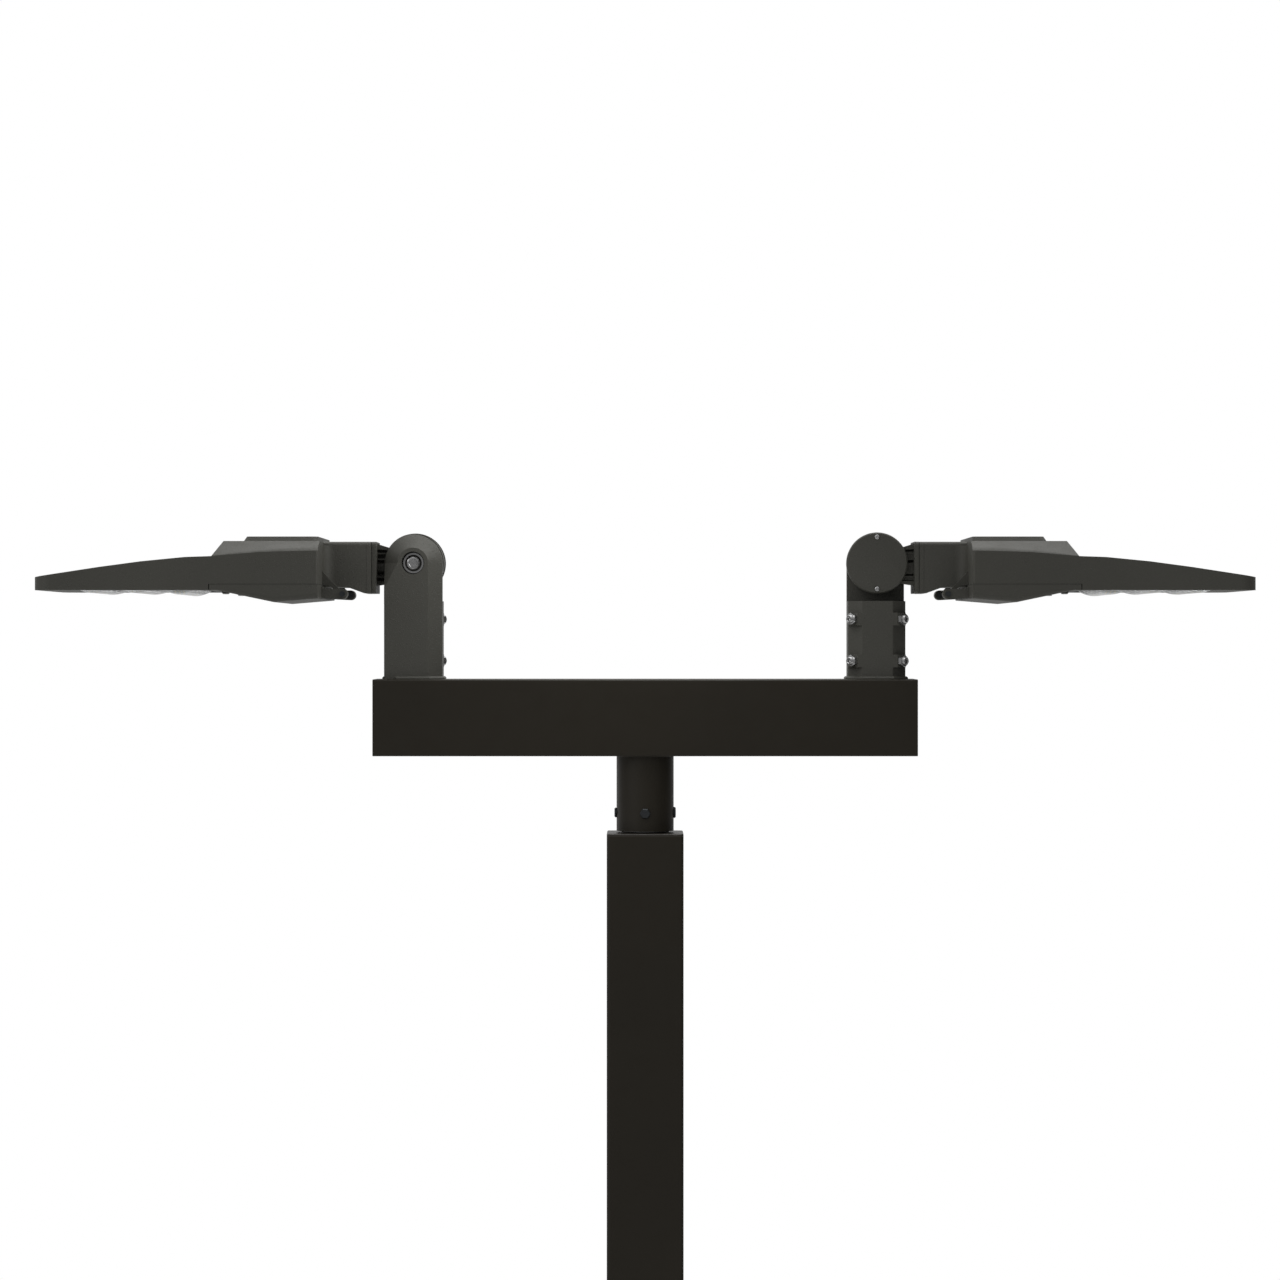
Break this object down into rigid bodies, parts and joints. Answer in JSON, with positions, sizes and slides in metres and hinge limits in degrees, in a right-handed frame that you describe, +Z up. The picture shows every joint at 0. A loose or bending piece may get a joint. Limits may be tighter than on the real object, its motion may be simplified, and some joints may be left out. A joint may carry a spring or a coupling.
{
  "type": "parking lot light pole",
  "caption": "Twin-head parking lot light: square steel pole with tenon crossarm, adjustable slipfitter knuckles and slim die-cast LED heads with hinged driver doors.",
  "frame": {"origin": "centre of the base plate's underside, on the foundation's top", "axes": "+Z up the pole; +X along the crossarm towards the right-hand head; +Y away from the side that shows the left unit's knuckle bolt and the right unit's round cover"},
  "size_m": [1.5904, 0.296, 3.4508],
  "materials": {
    "pole_paint": "satin black-brown powder coat",
    "cap_paint": "satin black-brown powder coat",
    "head_paint": "fine-textured dark bronze powder coat on cast aluminium",
    "bare_steel": "galvanised pipe",
    "galvanised": "galvanised plate",
    "bolt_steel": "bright stainless",
    "dark_bolt": "blackened steel",
    "seal_rubber": "matt silicone",
    "frame_black": "moulded black frame",
    "clear_lens": "clear moulded optic",
    "board_white": "white solder mask",
    "driver_case": "satin metal case",
    "device_plastic": "moulded"
  },
  "bodies": {
    "pole": {"base_plate": "galvanised", "pole_shaft": "pole_paint", "handhole_rim": "pole_paint", "handhole_cover": "pole_paint", "handhole_bar": "galvanised", "handhole_screws": "bolt_steel", "ground_stud": "bolt_steel", "base_cover_left": "pole_paint", "base_cover_right": "pole_paint", "base_cover_screws": "bolt_steel", "pole_cap": "cap_paint", "pole_tenon": "bare_steel", "tenon_gusset": "bare_steel"},
    "bracket": {"crossarm_tube": "pole_paint", "crossarm_end_caps": "pole_paint", "bracket_sleeve": "pole_paint", "bracket_bolts": "dark_bolt", "crossarm_tenons": "bare_steel"},
    "left_fitter": {"left_slipfitter": "head_paint", "left_set_screws": "bolt_steel", "left_jam_nuts": "bolt_steel", "left_knuckle_bolt": "bolt_steel", "left_knuckle_washer": "bolt_steel"},
    "left_head": {"left_knuckle_arm": "head_paint", "left_arm_bolts": "bolt_steel", "left_arm_gasket": "seal_rubber", "left_cover_gasket": "seal_rubber", "left_knuckle_cover": "head_paint", "left_cover_screws": "bolt_steel", "left_head_housing": "head_paint", "left_lens_frame": "frame_black", "left_lens": "clear_lens", "left_led_board": "board_white", "left_led_driver": "driver_case", "left_surge_protector": "device_plastic", "left_door_gasket": "seal_rubber", "left_hinge_pins": "dark_bolt"},
    "left_door": {"left_driver_door": "head_paint", "left_door_screws": "bolt_steel"},
    "right_fitter": {"right_slipfitter": "head_paint", "right_set_screws": "bolt_steel", "right_jam_nuts": "bolt_steel", "right_knuckle_bolt": "bolt_steel", "right_knuckle_washer": "bolt_steel"},
    "right_head": {"right_knuckle_arm": "head_paint", "right_arm_bolts": "bolt_steel", "right_arm_gasket": "seal_rubber", "right_cover_gasket": "seal_rubber", "right_knuckle_cover": "head_paint", "right_cover_screws": "bolt_steel", "right_head_housing": "head_paint", "right_lens_frame": "frame_black", "right_lens": "clear_lens", "right_led_board": "board_white", "right_led_driver": "driver_case", "right_surge_protector": "device_plastic", "right_door_gasket": "seal_rubber", "right_hinge_pins": "dark_bolt"},
    "right_door": {"right_driver_door": "head_paint", "right_door_screws": "bolt_steel"}
  },
  "joints": [
    {"name": "bracket_swivel", "type": "hinge", "parent": "pole", "child": "bracket", "pos_m": [0, 0, 3.1543], "axis": [0, 0, 1], "range_deg": [-180, 180]},
    {"name": "left_swivel", "type": "hinge", "parent": "bracket", "child": "left_fitter", "pos_m": [-0.30785, 0, 3.2559], "axis": [0, 0, 1], "range_deg": [-90, 90]},
    {"name": "left_tilt", "type": "hinge", "parent": "left_fitter", "child": "left_head", "pos_m": [-0.30785, 0, 3.4102], "axis": [0, 1, 0], "range_deg": [-10, 90]},
    {"name": "left_door_hinge", "type": "hinge", "parent": "left_head", "child": "left_door", "pos_m": [-0.39785, 0, 3.3685], "axis": [0, -1, 0], "range_deg": [0, 75]},
    {"name": "right_swivel", "type": "hinge", "parent": "bracket", "child": "right_fitter", "pos_m": [0.30785, 0, 3.2559], "axis": [0, 0, 1], "range_deg": [-90, 90]},
    {"name": "right_tilt", "type": "hinge", "parent": "right_fitter", "child": "right_head", "pos_m": [0.30785, 0, 3.4102], "axis": [0, -1, 0], "range_deg": [-10, 90]},
    {"name": "right_door_hinge", "type": "hinge", "parent": "right_head", "child": "right_door", "pos_m": [0.39785, 0, 3.3685], "axis": [0, 1, 0], "range_deg": [0, 75]}
  ]
}
